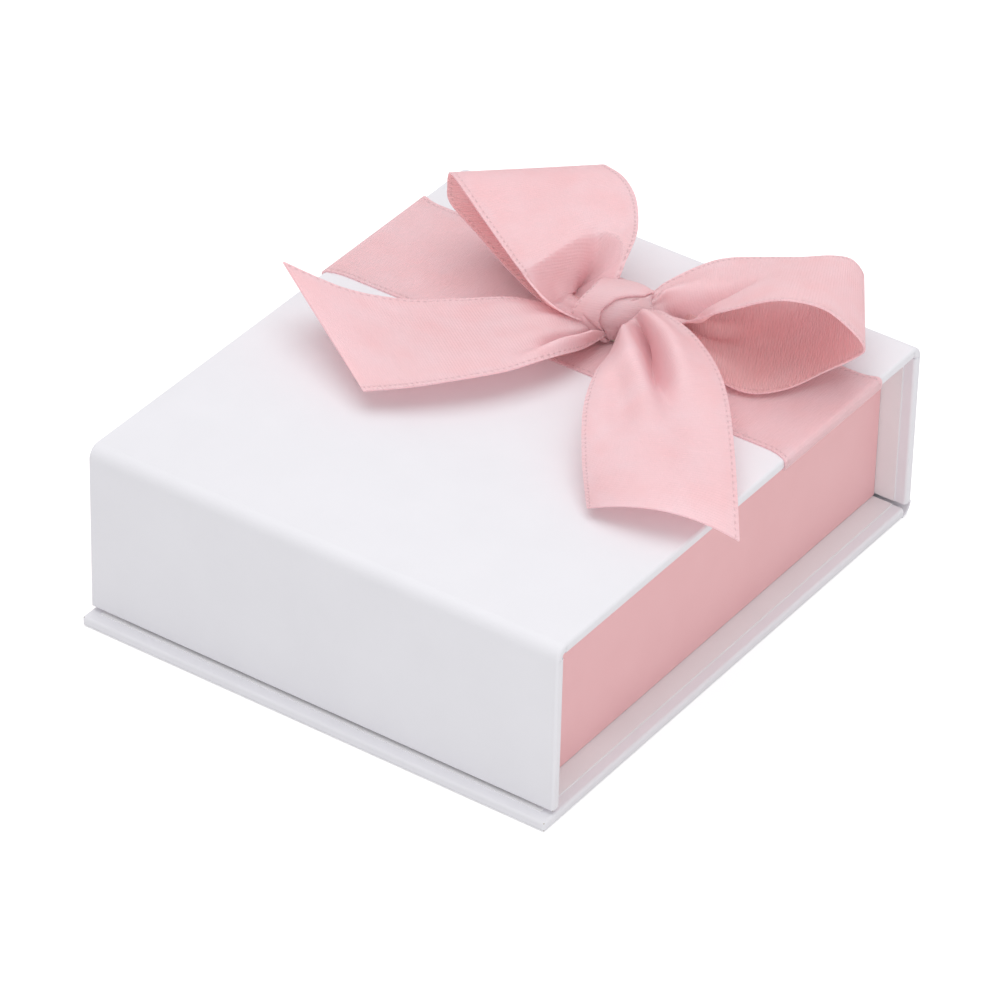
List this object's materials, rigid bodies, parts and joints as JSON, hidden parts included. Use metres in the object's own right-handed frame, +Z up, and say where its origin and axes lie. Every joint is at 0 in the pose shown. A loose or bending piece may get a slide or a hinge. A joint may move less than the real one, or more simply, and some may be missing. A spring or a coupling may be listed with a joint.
{
  "type": "gift box",
  "caption": "Book-style rigid gift box with a hinged lid, a magnetic front flap, a paper-covered tray and a ribbon band with a tied bow.",
  "frame": {"origin": "centre of the base panel's underside", "axes": "+X to the right, -Y towards the front flap, +Z up"},
  "size_m": [0.0922, 0.1002, 0.0503],
  "materials": {
    "cover_paper": "smooth matte white wrapping paper",
    "lining_paper": "uncoated white lining paper",
    "tray_paper": "matte pink wrapping paper",
    "greyboard": "uncoated recycled greyboard",
    "tape_paper": "gummed kraft paper tape",
    "satin_ribbon": "single-face satin with picot edges",
    "catch_metal": "nickel-plated discs",
    "glue": "set hot-melt glue"
  },
  "bodies": {
    "base": {"base_board": "greyboard", "base_wrap": "cover_paper", "base_lining": "lining_paper", "base_crease": "cover_paper", "spine_board": "greyboard", "spine_wrap": "cover_paper", "spine_lining": "lining_paper", "tray_floor": "greyboard", "tray_front": "greyboard", "tray_back": "greyboard", "tray_left": "greyboard", "tray_right": "greyboard", "corner_tapes": "tape_paper", "tray_wrap": "tray_paper", "tray_lining": "tray_paper", "catch_plates": "catch_metal"},
    "lid": {"lid_board": "greyboard", "lid_wrap": "cover_paper", "lid_lining": "lining_paper", "lid_crease": "cover_paper", "ribbon_band": "satin_ribbon", "bow_glue": "glue", "bow_knot": "satin_ribbon", "bow_loop_left": "satin_ribbon", "bow_loop_right": "satin_ribbon", "bow_tail_left": "satin_ribbon", "bow_tail_front": "satin_ribbon", "flap_crease": "cover_paper"},
    "flap": {"flap_board": "greyboard", "flap_wrap": "cover_paper", "flap_lining": "lining_paper", "flap_magnets": "catch_metal"}
  },
  "joints": [
    {"name": "lid_hinge", "type": "hinge", "parent": "base", "child": "lid", "pos_m": [0, 0.04962, 0.03112], "axis": [-1, 0, 0], "range_deg": [0, 180]},
    {"name": "flap_hinge", "type": "hinge", "parent": "lid", "child": "flap", "pos_m": [0, -0.04742, 0.03112], "axis": [-1, 0, 0], "range_deg": [0, 120]}
  ]
}
